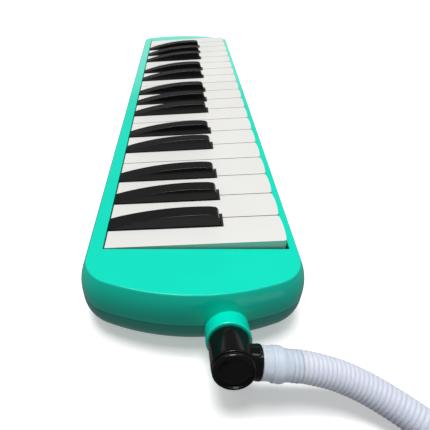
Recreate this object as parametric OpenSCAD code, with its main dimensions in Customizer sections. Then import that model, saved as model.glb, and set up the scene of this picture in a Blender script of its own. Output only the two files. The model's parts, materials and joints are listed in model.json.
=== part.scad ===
// A 32-key melodica lying on its back: a lower tray with the reed block, an upper shell
// around the keyboard, and a swivel elbow with the blowing hose and its mouthpiece.
// +X points to the player, +Y to the treble end and +Z up.
// The origin is on the underside, 216 mm from the wall with the socket.

/* [Case] */
// Overall length of the case
case_len = 437.5; // [436:0.5:440]
// Width of the case at its widest line
case_w = 109; // [108:0.5:110]
// Height of the flat top
case_h = 34; // [33.5:0.1:34.4]
// Height of the seam between the two shells
seam_z = 17.5; // [17.2:0.1:17.8]
// How far the curved shoulder draws the flat top in from the widest line
shoulder = 4; // [3.5:0.1:4.2]
// How far the rounded underside draws in from the widest line
under_draw = 12; // [11:0.5:12.5]
// Wall thickness of both shells
wall = 2; // [1.7:0.1:2.1]

/* [Keyboard] */
// Spacing of the white keys
key_pitch = 19.8; // [19.6:0.05:19.85]
// Gap between neighbouring keys
key_gap = 0.6; // [0.5:0.1:0.8]
// Height of a white key at its back end
white_back_z = 33.7; // [33.4:0.1:34]
// Slope of a white key's top, in degrees
white_slope = 3.2; // [2.8:0.1:3.4]
// Width of a black key at its foot
black_w = 9.4; // [9.2:0.1:9.8]
// Width of a black key along its ridge
black_ridge_w = 6.9; // [6.6:0.1:7.4]
// Front end of a black key's foot
black_front_x = 16.2; // [15.8:0.1:16.8]

/* [Socket and elbow] */
// Distance of the socket from the middle of the case
socket_x = 15.7; // [14.5:0.1:16]
// Height of the socket's axis at the end wall
socket_z = 15.9; // [15.8:0.1:16.5]
// Upward tilt of the socket's axis, in degrees
socket_tilt = 18; // [17:0.5:19]
// Outer diameter of the socket's collar
collar_d = 20; // [19.5:0.1:21]
// How far the collar stands out from the end wall, along its axis
collar_out = 10.3; // [9.8:0.1:10.6]
// Outer diameter of the elbow where it meets the collar
elbow_d = 18.2; // [18:0.1:18.4]
// Length of the elbow's barrel beyond the collar
elbow_len = 15.3; // [15.1:0.05:15.5]
// How far the elbow's side spigot points down from level, in degrees
spigot_drop = 7; // [6.5:0.1:7.5]

/* [Hose] */
// Outer diameter of the hose
hose_d = 13; // [12.5:0.1:13.2]
// Largest diameter of the hose's cuff
cuff_d = 14.8; // [14.4:0.1:15]
// Length of the mouthpiece
mouthpiece_len = 62; // [60:1:64]

/* [Hidden] */
$fn = 48;

// Names. The lowest key is an F, so the pattern of a scale starts there.
WHITE_LETTERS = ["f", "g", "a", "b", "c", "d", "e"];
white_count = 19;
// Whether a black key follows each white key of the pattern, and its offset in pitches
HAS_BLACK = [true, true, true, false, true, true, false];
BLACK_OFFSET = [-0.1, 0.03, 0.15, 0, -0.07, 0.07, 0];
function octave(i) = 3 + floor((i + 3) / 7);
function white_name(i) = str("white_key_", WHITE_LETTERS[i % 7], octave(i));
function black_name(i) = str("black_key_", WHITE_LETTERS[i % 7], "_sharp", octave(i));
function black_after(i) = i >= 0 && i < white_count - 1 && HAS_BLACK[i % 7];
WHITES = [for (i = [0:white_count - 1]) i];
BLACKS = [for (i = WHITES) if (black_after(i)) i];

// Outline of the case: both ends are crowned, and the bass end has the bigger corners.
// Its middle line lies a little to the player's side of the levers' zero.
case_x = 1;
near_crown_r = 112;
near_corner_r = 20.5;
far_crown_r = 110;
far_corner_r = 14;
// Heights where the rounded underside ends and where the shoulder begins
under_h = 14.5;
shoulder_z = 19;
near_y = -216;
far_y = near_y + case_len;
near_corner_x = case_w / 2 - near_corner_r;
far_corner_x = case_w / 2 - far_corner_r;
near_swing = asin(near_corner_x / (near_crown_r - near_corner_r));
far_swing = asin(far_corner_x / (far_crown_r - far_corner_r));
near_corner_y = near_y + near_crown_r - (near_crown_r - near_corner_r) * cos(near_swing);
far_corner_y = far_y - far_crown_r + (far_crown_r - far_corner_r) * cos(far_swing);

// Keyboard
keys_y = near_y + 33;
keys_end_y = keys_y + white_count * key_pitch;
key_back_x = -42;
key_front_x = 47.5;
key_front_low_z = 32;
rail_x = -42.7;
lip_x = 47.8;
skirt_z = 27;
key_front_z = white_back_z + (key_front_x - 1 - key_back_x) * tan(white_slope);
black_y_gap = 0.6;
black_rise = 9;
black_bulge = 2.2;
black_back_z = white_back_z + 0.5;
black_crest_x = 10;

// Lever: the axle, the tail with its valve pad, and the tone hole under the pad
axle_x = -16;
axle_z = 26;
axle_d = 2.5;
axle_bore_d = 2.6;
tail_z = 22.4;
pad_x = [-41.5, -34];
pad_z = 20.1;
pad_glue = 0.05;
pad_w = 8;
hub_x = [-20, -12];
hub_z = 23.2;
comb_x = [-18.5, -13.5];
comb_z = 29;
comb_tooth_w = 1.2;
hub_side_cut = 1;

// Reed block and the parts under it
block_x = [-43, 24];
block_z = [11.2, 20];
plate_z = 10;
gasket_z = 9.2;
reed_t = 0.4;
reed_root_x = -35;
reed_low = 46;
reed_high = 20;
cell_w = 7;
cell_roof = 1.6;
plate_screw_x = 19.5;
chamber_wall = 2;
duct_mouth_z = [4.8, 8];

// Screws: one near each corner of the case and two under the keys' front ends
SCREWS = [[-33, near_y + 24], [37, near_y + 25], [-33, far_y - 13], [33, far_y - 13],
          [32, -70], [32, 80]];
SCREW_TOPS = [case_h - wall, case_h - wall, case_h - wall, case_h - wall, 21, 21];
screw_boss_d = 6.6;
ledge_z = [18.5, 21];
screw_d = 2.2;
screw_head_d = 4.4;
screw_head_z = 4.6;
screw_head_h = 2.4;
screw_len = 13;

// Drain valve at the treble end
drain_x = -20;
drain_z = 6.2;
drain_wall_y = keys_end_y + 3;
drain_end_y = far_y - far_crown_r + sqrt(pow(far_crown_r, 2) - pow(drain_x - case_x, 2)) - 0.6;
button_r = 2.8;
button_len = 9.5;
stem_r = 1;
seal_t = 1.6;

// Direction and place of the socket's axis
socket_y = near_y + near_crown_r - sqrt(pow(near_crown_r, 2) - pow(socket_x - case_x, 2));
spigot_at = 10.3;
bore_r = 7.5;

// Stations along the side spigot, from the elbow's axis outwards
flange_at = [9.1, 11];
cuff_at = [11, 15.7, 22, 27];

// Route of the hose: out of its cuff, down to the table and back in a long bend
HOSE = [
    [42.5, -235.5, 19.1], [48, -235.9, 18], [55, -236.7, 16.3], [62, -238.2, 14.3],
    [70, -241.1, 12], [78, -245.4, 9.9], [86, -251.2, 8.3], [94, -258.6, 7.3],
    [101, -267.2, 7], [107, -277.3, 7], [111.5, -288.3, 7], [114.5, -300, 7],
    [116, -312, 7], [116.5, -330, 7], [116.5, -350, 7], [116.5, -368, 7],
    [115.5, -382, 7], [112, -394, 7], [106, -405, 7], [97, -415, 7],
    [86, -422, 7], [74, -426, 7], [62, -427, 7], [50, -425, 7],
    [38.5, -420, 7], [28.5, -412, 7], [20.5, -402, 7], [15, -391, 7],
    [12, -379, 7], [11, -367, 7], [11, -354, 7]];

// ---------------------------------------------------------------- helpers

function arc(cx, cy, r, a0, a1, n) =
    [for (i = [0:n]) let (a = a0 + (a1 - a0) * i / n) [cx + r * cos(a), cy + r * sin(a)]];

function span(mid, width) = [mid - width / 2, mid + width / 2];

// The case's outline, drawn in by d all round
function case_outline(d) = concat(
    arc(case_x, near_y + near_crown_r, near_crown_r - d, 270 - near_swing, 270 + near_swing, 10),
    arc(case_x + near_corner_x, near_corner_y, near_corner_r - d, 276 + near_swing, 360, 9),
    arc(case_x + far_corner_x, far_corner_y, far_corner_r - d, 0, 84 - far_swing, 6),
    arc(case_x, far_y - far_crown_r, far_crown_r - d, 90 - far_swing, 90 + far_swing, 6),
    arc(case_x - far_corner_x, far_corner_y, far_corner_r - d, 96 + far_swing, 180, 6),
    arc(case_x - near_corner_x, near_corner_y, near_corner_r - d, 180, 264 - near_swing, 9));

module case_slab(d, z0, z1) {
    translate([0, 0, z0]) linear_extrude(z1 - z0) polygon(case_outline(d));
}

// Outside of the lower shell for t = 0, and the hollow inside a wall of t otherwise
module lower_form(t, z1) {
    hull() {
        for (a = [20, 40, 60, 90])
            let (z = t + (under_h - t) * (1 - sin(a)))
                case_slab(t + (under_draw - t) * (1 - cos(a)), z, z + 0.1);
        case_slab(t, under_h, z1);
    }
}

// The same for the upper shell, whose walls curve in towards the flat top at z1
module upper_form(t, z0, z1) {
    hull() {
        case_slab(t, z0, shoulder_z);
        for (k = [1:3])
            let (z = shoulder_z + (z1 - shoulder_z) * k / 3)
                case_slab(t + shoulder * pow((z - shoulder_z) / (case_h - shoulder_z), 2), z - 0.1, z);
    }
}

module block(x, y, z) {
    translate([x[0], y[0], z[0]]) cube([x[1] - x[0], y[1] - y[0], z[1] - z[0]]);
}

// An outline in X and Z, drawn out along Y from y0 to y1
module across(y0, y1) {
    translate([0, y1, 0]) rotate([90, 0, 0]) linear_extrude(y1 - y0) children();
}

// Places its children in the socket's frame: +Z out along the axis, from the end wall
module on_socket() {
    translate([socket_x, socket_y, socket_z]) rotate([90 - socket_tilt, 0, 0]) children();
}

module tube(r_out, r_in, z0, z1) {
    difference() {
        translate([0, 0, z0]) cylinder(h = z1 - z0, r = r_out);
        translate([0, 0, z0 - 1]) cylinder(h = z1 - z0 + 2, r = r_in);
    }
}

// Middle of each key's narrow part along Y, where its lever, pad and reed lie
function black_y(i) = keys_y + (i + 1 + BLACK_OFFSET[i % 7]) * key_pitch;
function notch_low(i) = black_after(i - 1)
    ? black_y(i - 1) + black_w / 2 + black_y_gap : keys_y + i * key_pitch + key_gap / 2;
function notch_high(i) = black_after(i)
    ? black_y(i) - black_w / 2 - black_y_gap : keys_y + (i + 1) * key_pitch - key_gap / 2;
function white_y(i) = (notch_low(i) + notch_high(i)) / 2;

// All 32 levers from bass to treble
LEVERS = [for (i = WHITES) each black_after(i) ? [white_y(i), black_y(i)] : [white_y(i)]];
lever_count = len(LEVERS);
// Gaps between neighbouring levers, and one at each end of the row
TEETH = concat(
    [keys_y - 1.4],
    [for (i = WHITES) each black_after(i)
        ? [(notch_high(i) + black_y(i) - black_w / 2) / 2,
           (notch_low(i + 1) + black_y(i) + black_w / 2) / 2]
        : [i < white_count - 1 ? keys_y + (i + 1) * key_pitch : keys_end_y + 1.4]]);
function reed_len(n) = reed_low + (reed_high - reed_low) * n / (lever_count - 1);
mid_y = (LEVERS[15] + LEVERS[16]) / 2;

// ---------------------------------------------------------------- case

module top_case() {
    color("mediumturquoise") difference() {
        union() {
            difference() {
                upper_form(0, seam_z, case_h);
                upper_form(wall, seam_z - 1, case_h - wall);
            }
            // Bosses for the screws
            for (i = [0:5])
                translate([SCREWS[i][0], SCREWS[i][1], seam_z])
                    cylinder(h = SCREW_TOPS[i] - seam_z, d = screw_boss_d);
            // Ledge under the keys' front ends, with a tab out to each screw below it
            block([40, case_x + case_w / 2 - wall + 0.5], [keys_y, keys_end_y], ledge_z);
            for (i = [4, 5]) block([SCREWS[i][0], 41], span(SCREWS[i][1], screw_boss_d), ledge_z);
        }
        // Keyboard opening
        block([rail_x, lip_x], [keys_y - 0.6, keys_end_y + 0.6], [case_h - wall - 1, case_h + 1]);
        for (p = SCREWS)
            translate([p[0], p[1], seam_z - 1]) cylinder(h = 7, d = screw_d);
        on_socket() translate([0, 0, -17]) cylinder(h = 24, r = bore_r + 1.6);
    }
}

module bottom_case() {
    color("lightseagreen") difference() {
        intersection() {
            lower_form(0, seam_z);
            union() {
                difference() {
                    case_slab(-1, -1, seam_z + 1);
                    lower_form(wall, seam_z + 2);
                }
                for (p = SCREWS)
                    translate([p[0], p[1], -1]) cylinder(h = seam_z + 2, d = screw_boss_d);
                // Wall of the air chamber
                difference() {
                    block(block_x + [0, 1], [keys_y - 2, drain_wall_y], [1, gasket_z]);
                    block(block_x + [chamber_wall, -1],
                          [keys_y, drain_wall_y - chamber_wall], [wall, gasket_z + 1]);
                }
            }
        }
        for (p = SCREWS) translate([p[0], p[1], -1]) {
            cylinder(h = seam_z + 2, d = screw_d + 0.4);
            cylinder(h = screw_head_z + screw_head_h + 1, d = screw_head_d + 0.4);
        }
        // Mouth of the air duct, and the drain valve's two holes
        block([9, 22], [keys_y - 3, keys_y + 1], duct_mouth_z);
        on_drain() translate([0, 0, far_y - 12]) cylinder(h = 13, r = button_r + 0.15);
        on_drain() translate([0, 0, drain_wall_y - 5]) cylinder(h = 8, r = stem_r + 0.5);
        on_socket() translate([0, 0, -17]) cylinder(h = 24, r = bore_r + 1.6);
    }
}

module case_screws() {
    color("silver") for (p = SCREWS) translate([p[0], p[1], screw_head_z]) difference() {
        union() {
            translate([0, 0, screw_head_h]) cylinder(h = screw_len, d = screw_d - 0.1);
            cylinder(h = screw_head_h, d = screw_head_d);
        }
        for (a = [0, 90]) rotate(a) translate([-1.4, -0.3, -1]) cube([2.8, 0.6, 2]);
    }
}

// ---------------------------------------------------------------- air path

module mouthpiece_socket() {
    color("mediumturquoise") difference() {
        union() {
            on_socket() translate([0, 0, -14]) cylinder(h = 14 + collar_out, r = bore_r + 1.5);
            difference() {
                on_socket() translate([0, 0, -8]) cylinder(h = 8 + collar_out, d = collar_d);
                lower_form(0, seam_z);
                upper_form(0, seam_z, case_h);
            }
        }
        on_socket() translate([0, 0, -15]) cylinder(h = 30, r = bore_r);
    }
}

module air_duct() {
    x = [5, 26];
    y = [near_y + 12, keys_y - 2.05];
    z = [3.2, 24.5];
    skin = 1.4;
    color("darkslategray") difference() {
        block(x, y, z);
        block(x + [skin, -skin], y + [skin, -skin], z + [skin, -skin]);
        block([9, 22], y + [5, 1], duct_mouth_z);
        on_socket() translate([0, 0, -17]) cylinder(h = 17, r = bore_r + 1.55);
    }
}

module reed_block() {
    color("ivory") difference() {
        block(block_x, [keys_y, keys_end_y], block_z);
        for (n = [0:lever_count - 1]) {
            block([reed_root_x - 5, reed_root_x + reed_len(n) + 3], span(LEVERS[n], cell_w),
                  [block_z[0] - 1, block_z[1] - cell_roof]);
            block([-40.5, -35], span(LEVERS[n], 6), [block_z[0], block_z[1] + 1]);
        }
    }
}

// One half of the reed plate, with a slot for each reed from first to last
module reed_plate(y0, y1, first, last) {
    color("goldenrod") difference() {
        block(block_x + [0.5, -0.5], [y0, y1], [plate_z, block_z[0]]);
        for (n = [first:last])
            block([reed_root_x + 5, reed_root_x + reed_len(n) + 0.4], span(LEVERS[n], 3.2),
                  [plate_z - 1, block_z[0] + 1]);
        for (y = [y0 + 2.5, y1 - 2.5])
            translate([plate_screw_x, y, plate_z - 1]) cylinder(h = 3, d = 1.8);
    }
}

module reed_plate_low() { reed_plate(keys_y + 0.5, mid_y - 0.3, 0, 15); }
module reed_plate_high() { reed_plate(mid_y + 0.3, keys_end_y - 0.5, 16, 31); }

// Each reed is a spring tongue held by one rivet at its root
module reeds() {
    color("gold") for (n = [0:lever_count - 1]) {
        block([reed_root_x, reed_root_x + reed_len(n)], span(LEVERS[n], 2.8), [plate_z - reed_t, plate_z]);
        translate([reed_root_x + 2.2, LEVERS[n], plate_z - 0.8]) cylinder(h = 0.6, r = 1, $fn = 24);
    }
}

module reed_plate_screws() {
    ends = [keys_y + 3, mid_y - 2.8, mid_y + 2.8, keys_end_y - 3];
    color("silver") for (y = ends) translate([plate_screw_x, y, 0]) {
        translate([0, 0, 8.8]) cylinder(h = 1.2, d = 3.2, $fn = 24);
        translate([0, 0, 9.5]) cylinder(h = block_z[0] - 9.5, d = 1.6, $fn = 24);
    }
}

module chamber_gasket() {
    y = [keys_y - 2, drain_wall_y];
    color("dimgray") difference() {
        block(block_x + [0, 1], y, [gasket_z, plate_z]);
        block(block_x + [chamber_wall, -chamber_wall - 0.5], y + [2.5, -4.2], [gasket_z - 1, plate_z + 1]);
    }
}

// ---------------------------------------------------------------- key action

module key_axle() {
    color("silver") translate([axle_x, keys_y - 4, axle_z]) rotate([-90, 0, 0])
        cylinder(h = keys_end_y - keys_y + 8, d = axle_d);
}

module axle_clips() {
    color("dimgray") for (y = [keys_y - 3.4, keys_end_y + 2.8])
        translate([axle_x, y, axle_z]) rotate([-90, 0, 0]) difference() {
            cylinder(h = 0.6, d = 5.5, $fn = 32);
            translate([0, 0, -1]) cylinder(h = 3, d = axle_d, $fn = 48);
        }
}

module key_comb() {
    color("ivory") difference() {
        union() {
            block(comb_x, [TEETH[0] - 0.6, TEETH[lever_count] + 0.6], [block_z[1], tail_z - 0.2]);
            for (y = TEETH) block(comb_x, span(y, comb_tooth_w), [block_z[1], comb_z]);
        }
        translate([axle_x, keys_y - 6, axle_z]) rotate([-90, 0, 0])
            cylinder(h = keys_end_y - keys_y + 12, d = axle_bore_d);
    }
}

module leaf_spring_comb() {
    color("silver") {
        block([-12.4, -6], [keys_y + 2, keys_end_y - 2], [block_z[1], block_z[1] + 0.4]);
        for (y = LEVERS) across(y - 2, y + 2)
            polygon([[-8, 20], [-6, 20], [10, 26.2], [13, 26.5],
                [13, 26.9], [9.9, 26.6], [-6.1, 20.4], [-8, 20.4]]);
    }
}

module key_stop_felt() {
    color("firebrick") block([41, 46.5], [keys_y + 1, keys_end_y - 1], [21, 22.6]);
}

// The part of every key that turns on the axle and carries the valve pad
module lever_sides(y, w) {
    for (s = [-1, 1])
        translate([comb_x[0] - 1, y + s * (w / 2 - hub_side_cut / 2) - hub_side_cut / 2 - 0.01, hub_z - 1])
            cube([comb_x[1] - comb_x[0] + 2, hub_side_cut + 0.02, comb_z - hub_z + 1.6]);
}

module axle_bore(y) {
    translate([axle_x, y - 20, axle_z]) rotate([-90, 0, 0]) cylinder(h = 40, d = axle_bore_d);
}

module pad(y) {
    block(pad_x, span(y, pad_w), [pad_z, tail_z - pad_glue]);
}

KEY_UNDERSIDE = [[key_back_x, tail_z], [-31, tail_z], [-28, hub_z], [hub_x[1], hub_z], [-8, skirt_z]];

function white_plan(i, d) =
    let (y0 = keys_y + i * key_pitch + key_gap / 2 + d, y1 = y0 + key_pitch - key_gap - 2 * d,
         lo = notch_low(i) + d, hi = notch_high(i) - d,
         xn = black_front_x + 0.8 + d, xf = key_front_x - d, r = 2.5 - d)
    concat(
        [[key_back_x + d, lo]],
        black_after(i - 1) ? [[xn, lo], [xn, y0]] : [],
        arc(xf - r, y0 + r, r, -90, 0, 4),
        arc(xf - r, y1 - r, r, 0, 90, 4),
        black_after(i) ? [[xn, y1], [xn, hi]] : [],
        [[key_back_x + d, hi]]);

// A white key's front end is round about the axle, so that its gap to the case stays the same
function white_front(z) = axle_x
    + sqrt(pow(key_front_x - axle_x, 2) + pow(key_front_low_z - axle_z, 2) - pow(z - axle_z, 2));

module white_key(i) {
    y0 = keys_y + i * key_pitch;
    y1 = y0 + key_pitch;
    color("white") difference() {
        intersection() {
            translate([0, 0, pad_z]) linear_extrude(30) polygon(white_plan(i, 0));
            across(y0, y1) polygon(concat(KEY_UNDERSIDE, [[key_front_x, skirt_z]],
                [for (k = [0:4]) let (z = key_front_low_z + (key_front_z - key_front_low_z) * k / 4)
                    [white_front(z), z]],
                [[key_back_x, white_back_z]]));
        }
        // Hollow under the wide front part
        block([black_front_x + 3, key_front_x - 1.8], [y0 + 2, y1 - 2], [skirt_z - 1, key_front_z - 4]);
        lever_sides(white_y(i), notch_high(i) - notch_low(i));
        axle_bore(white_y(i));
    }
    color("dimgray") pad(white_y(i));
}

// Ridge line of a black key, from its back end to its crest
function black_top(t) = black_back_z + black_rise * t + 4 * black_bulge * t * (1 - t);

module black_key(i) {
    y = black_y(i);
    half = black_w / 2;
    ridge = [for (k = [8:-1:0]) let (t = k / 8)
        [key_back_x + (black_crest_x - key_back_x) * t, black_top(t)]];
    crest_z = black_top(1);
    color("black") difference() {
        intersection() {
            across(y - half, y + half) polygon(concat(KEY_UNDERSIDE,
                [[black_front_x, skirt_z], [black_front_x, 37.1], [black_front_x - 0.4, 37.5],
                 [black_front_x - 1.1, 37.5], [black_front_x - 1.3, crest_z - 2.2],
                 [black_front_x - 1.8, crest_z - 0.9], [black_front_x - 3, crest_z - 0.2]], ridge));
            translate([key_back_x - 1, y, 0]) rotate([90, 0, 90]) linear_extrude(70)
                polygon([[-half, 20], [half, 20], [half, 35.5], [black_ridge_w / 2, 45],
                         [-black_ridge_w / 2, 45], [-half, 35.5]]);
        }
        lever_sides(y, black_w);
        axle_bore(y);
    }
    color("dimgray") pad(y);
}

// ---------------------------------------------------------------- drain valve

// Places its children on the drain valve's axis: +Z out of the treble end, as far as Y
module on_drain() {
    translate([drain_x, 0, drain_z]) rotate([-90, 0, 0]) children();
}

module drain_button() {
    color("mediumturquoise") on_drain() {
        translate([0, 0, drain_end_y - button_len]) cylinder(h = button_len, r = button_r);
        translate([0, 0, drain_wall_y - chamber_wall - seal_t])
            cylinder(h = drain_end_y + 1 - button_len - drain_wall_y + chamber_wall + seal_t, r = stem_r);
    }
}

module drain_seal() {
    inner_y = drain_wall_y - chamber_wall;
    color("dimgray") on_drain() tube(2.6, stem_r + 0.03, inner_y - seal_t, inner_y);
}

module drain_spring() {
    room = [drain_wall_y + 0.6, drain_end_y - button_len - 0.6];
    turns = 6;
    steps = 14;
    coil = [for (k = [0:turns * steps]) let (a = 360 * k / steps)
        [drain_x + 1.9 * cos(a),
         room[0] + (room[1] - room[0]) * k / (turns * steps),
         drain_z + 1.9 * sin(a)]];
    color("silver") sweep(coil, 0.3, 6, unit(coil[1] - coil[0]), unit(coil[1] - coil[0]));
}

// ---------------------------------------------------------------- elbow and hose

// Places its children in the side spigot's frame: +Z outwards, from the elbow's axis
module on_spigot() {
    on_socket() translate([0, 0, collar_out + spigot_at])
        rotate([0, 0, -spigot_drop]) rotate([0, 90, 0]) children();
}

module elbow_connector() {
    elbow_r = elbow_d / 2;
    base = collar_out + 0.15;
    color("black") difference() {
        union() {
            on_socket() translate([0, 0, base]) cylinder(h = elbow_len, r1 = elbow_r, r2 = elbow_r - 0.3);
            on_socket() translate([0, 0, -11]) cylinder(h = 12 + base, r = bore_r - 0.05);
            on_spigot() cylinder(h = cuff_at[2], r = 4.4);
        }
        on_socket() translate([0, 0, -12]) cylinder(h = 12 + collar_out + spigot_at + 3.4, r = 4.8);
        on_spigot() cylinder(h = cuff_at[2] + 1, r = 3.4);
        on_socket() tube(9, 5.9, -8, -6.1);
    }
}

module elbow_end_cap() {
    color("black") on_socket() translate([0, 0, collar_out + 0.15 + elbow_len]) difference() {
        union() {
            cylinder(h = 1.8, d = elbow_d - 0.6);
            translate([0, 0, 1.8]) cylinder(h = 0.8, d1 = elbow_d - 1.8, d2 = elbow_d - 3.6);
        }
        translate([0, 0, 1.2]) tube(elbow_d / 2 - 1.1, elbow_d / 2 - 1.6, 0, 3);
    }
}

module socket_o_ring() {
    color("dimgray") on_socket() translate([0, 0, -7.05]) rotate_extrude()
        translate([6.63, 0]) circle(r = 0.72, $fn = 24);
}

module hose_flange() {
    color("black") on_spigot() tube(7, 4.45, flange_at[0], flange_at[1]);
}

module hose_cuff() {
    color("lavender") on_spigot() difference() {
        union() {
            translate([0, 0, cuff_at[0]]) cylinder(h = cuff_at[1] - cuff_at[0], d = hose_d + 0.7);
            translate([0, 0, cuff_at[1]]) cylinder(h = cuff_at[2] - cuff_at[1], d = cuff_d);
            translate([0, 0, cuff_at[2]]) cylinder(h = cuff_at[3] - cuff_at[2], d = hose_d);
        }
        translate([0, 0, cuff_at[0] - 1]) cylinder(h = 30, r = 4.45);
    }
}

function unit(v) = v / norm(v);

// A round bar of radius r along a list of points, with the headings at its two ends
module sweep(points, r, sides, first_heading, last_heading) {
    last = len(points) - 1;
    rings = [for (k = [0:last])
        let (t = k == 0 ? first_heading : k == last ? last_heading : unit(points[k + 1] - points[k - 1]),
             u = unit(cross(abs(t[2]) < 0.7 ? [0, 0, 1] : [0, 1, 0], t)), v = cross(t, u))
        for (s = [0:sides - 1]) let (a = 360 * s / sides) points[k] + r * (cos(a) * u + sin(a) * v)];
    polyhedron(
        points = rings,
        faces = concat(
            [[for (s = [sides - 1:-1:0]) s]],
            [for (k = [0:last - 1]) for (s = [0:sides - 1])
                let (a = k * sides + s, b = k * sides + (s + 1) % sides)
                each [[a, b, b + sides], [a, b + sides, a + sides]]],
            [[for (s = [0:sides - 1]) last * sides + s]]));
}

module hose() {
    out = [cos(spigot_drop), -sin(spigot_drop) * sin(socket_tilt), -sin(spigot_drop) * cos(socket_tilt)];
    color("lavender") sweep(HOSE, hose_d / 2, 10, out, [0, 1, 0]);
}

// Places its children at the far end of the hose: +Z out of the hose
module on_hose_end() {
    translate(HOSE[len(HOSE) - 1]) rotate([-90, 0, 0]) children();
}

module mouthpiece_cuff() {
    color("lavender") on_hose_end() tube(6.9, 4.45, 0, 14);
}

module mouthpiece() {
    tip = mouthpiece_len;
    color("black") on_hose_end() difference() {
        hull() {
            translate([0, 0, 14]) cylinder(h = 8, r = 6.7, $fn = 32);
            for (s = [-1, 1]) translate([s * 7, 2.6, tip - 10]) cylinder(h = 10, r = 3.6, $fn = 32);
        }
        translate([0, 0, 10]) cylinder(h = tip - 24, r = 3.4);
        translate([-7, 1.2, tip - 22]) cube([14, 2.8, 40]);
    }
}

// ---------------------------------------------------------------- assembly

top_case();
bottom_case();
mouthpiece_socket();
air_duct();
reed_block();
reed_plate_low();
reed_plate_high();
reeds();
reed_plate_screws();
chamber_gasket();
key_axle();
axle_clips();
key_comb();
leaf_spring_comb();
key_stop_felt();
drain_button();
drain_seal();
drain_spring();
case_screws();
elbow_connector();
elbow_end_cap();
socket_o_ring();
hose_flange();
hose_cuff();
hose();
mouthpiece_cuff();
mouthpiece();
for (i = WHITES) white_key(i);
for (i = BLACKS) black_key(i);
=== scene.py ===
"""Looks of a 32-key melodica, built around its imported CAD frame.

Sizes in the script are millimetres in the frame's own axes: +X to the player, +Y to the
treble end, +Z up. MM turns them into Blender's metres when a mesh is made.
"""
import json
import math

import bmesh
import bpy
from mathutils import Matrix, Vector

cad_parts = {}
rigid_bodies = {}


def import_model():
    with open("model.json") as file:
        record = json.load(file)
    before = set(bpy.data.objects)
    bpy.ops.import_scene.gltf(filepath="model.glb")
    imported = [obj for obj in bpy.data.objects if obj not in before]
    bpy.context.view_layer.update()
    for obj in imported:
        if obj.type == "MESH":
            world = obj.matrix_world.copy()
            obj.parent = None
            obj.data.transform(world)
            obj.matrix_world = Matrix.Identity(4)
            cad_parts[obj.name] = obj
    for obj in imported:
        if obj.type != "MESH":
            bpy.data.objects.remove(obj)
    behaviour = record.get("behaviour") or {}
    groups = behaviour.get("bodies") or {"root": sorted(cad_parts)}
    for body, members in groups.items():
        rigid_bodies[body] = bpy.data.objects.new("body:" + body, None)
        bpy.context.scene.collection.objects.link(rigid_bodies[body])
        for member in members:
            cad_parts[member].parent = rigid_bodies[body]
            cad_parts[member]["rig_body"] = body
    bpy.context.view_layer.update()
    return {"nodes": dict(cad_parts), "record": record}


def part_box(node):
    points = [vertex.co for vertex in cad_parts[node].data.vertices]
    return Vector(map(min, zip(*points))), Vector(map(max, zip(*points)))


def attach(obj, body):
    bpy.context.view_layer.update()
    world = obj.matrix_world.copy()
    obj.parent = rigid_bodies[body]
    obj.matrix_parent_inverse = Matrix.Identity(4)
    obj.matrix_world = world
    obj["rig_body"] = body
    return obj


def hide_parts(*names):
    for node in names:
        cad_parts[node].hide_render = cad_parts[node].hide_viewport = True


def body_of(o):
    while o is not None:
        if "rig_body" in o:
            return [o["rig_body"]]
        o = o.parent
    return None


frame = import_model()

MM = 0.001


def cad_range(node, axis):
    """Lowest and highest place of a CAD node along an axis, in millimetres."""
    low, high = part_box(node)
    return low[axis] / MM, high[axis] / MM


# The case: its size from the frame, and its corners, underside and walls as in the CAD
NEAR_Y, FAR_Y = cad_range("bottom_case", 1)
CASE_X = sum(cad_range("bottom_case", 0)) / 2
HALF_W = cad_range("bottom_case", 0)[1] - CASE_X
SEAM_Z, TOP_Z = cad_range("top_case", 2)
NEAR_CROWN_R = 112
NEAR_CORNER_R = 20.5
FAR_CROWN_R = 110
FAR_CORNER_R = 14
UNDER_H = 14.5
UNDER_DRAW = 12
SHOULDER_Z = 19
SHOULDER = 4
WALL = 2

# The crease along the seam, as (draw, distance from the seam), the same on both shells
SEAM_GAP = 0.1
CREASE = ((0.5, SEAM_GAP), (0.18, 0.12), (0, 0.45))
# The rounded edge of the flat top: how far down it starts, how far in it ends, and its corner
TOP_EDGE_DOWN = 0.75
TOP_EDGE_IN = 0.33
TOP_CORNER_IN = 0.38

# Screw bosses in the lower shell, and the recess for each screw's head
BOSS_R = 3.3
BOSS_LOW_Z = 1
RECESS_R = 2.4
RECESS_TOP_Z = 8
INNER_DRAW = 0.5

# Keyboard opening, and its gap to the outermost keys
KEYS_Y = cad_range("white_key_f3", 1)[0] - 0.3
KEYS_END_Y = cad_range("white_key_c6", 1)[1] + 0.3
RAIL_X = cad_range("white_key_f3", 0)[0] - 0.7
LIP_X = cad_range("white_key_f3", 0)[1] + 0.3
PIT_GAP = 0.6

# Finish of the keys: width of the rounded edges, lowest height and smallest turn of such an edge
WHITE_EDGE = 0.5
BLACK_EDGE = 0.75
EDGE_LOW_Z = 28
EDGE_TURN = math.radians(16)
WHITE_CROWN = 0.8
BLACK_FRONT_R = 3.4

# Axis of the socket and the elbow, and the elbow's side spigot
SOCKET_TILT = math.radians(18)
SPIGOT_DROP = math.radians(7)
SOCKET_X = 15.7
SOCKET_Z = 15.9
COLLAR_OUT = 10.3
COLLAR_R = 10
BORE_R = 7.5
BARREL_R = 9.1
BARREL_END_R = 8.85
BARREL_START = COLLAR_OUT + 0.15
BARREL_END = BARREL_START + 15.3
SPIGOT_AT = 20.6
SPIGOT_R = 4.4
SPIGOT_BORE_R = 3.4
ELBOW_BORE_R = 4.8
FLANGE = (9.1, 11)
FLANGE_RIBS = 30
CUFF = (11, 15.7, 22, 27)
CUFF_BORE_R = 4.45

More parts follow.
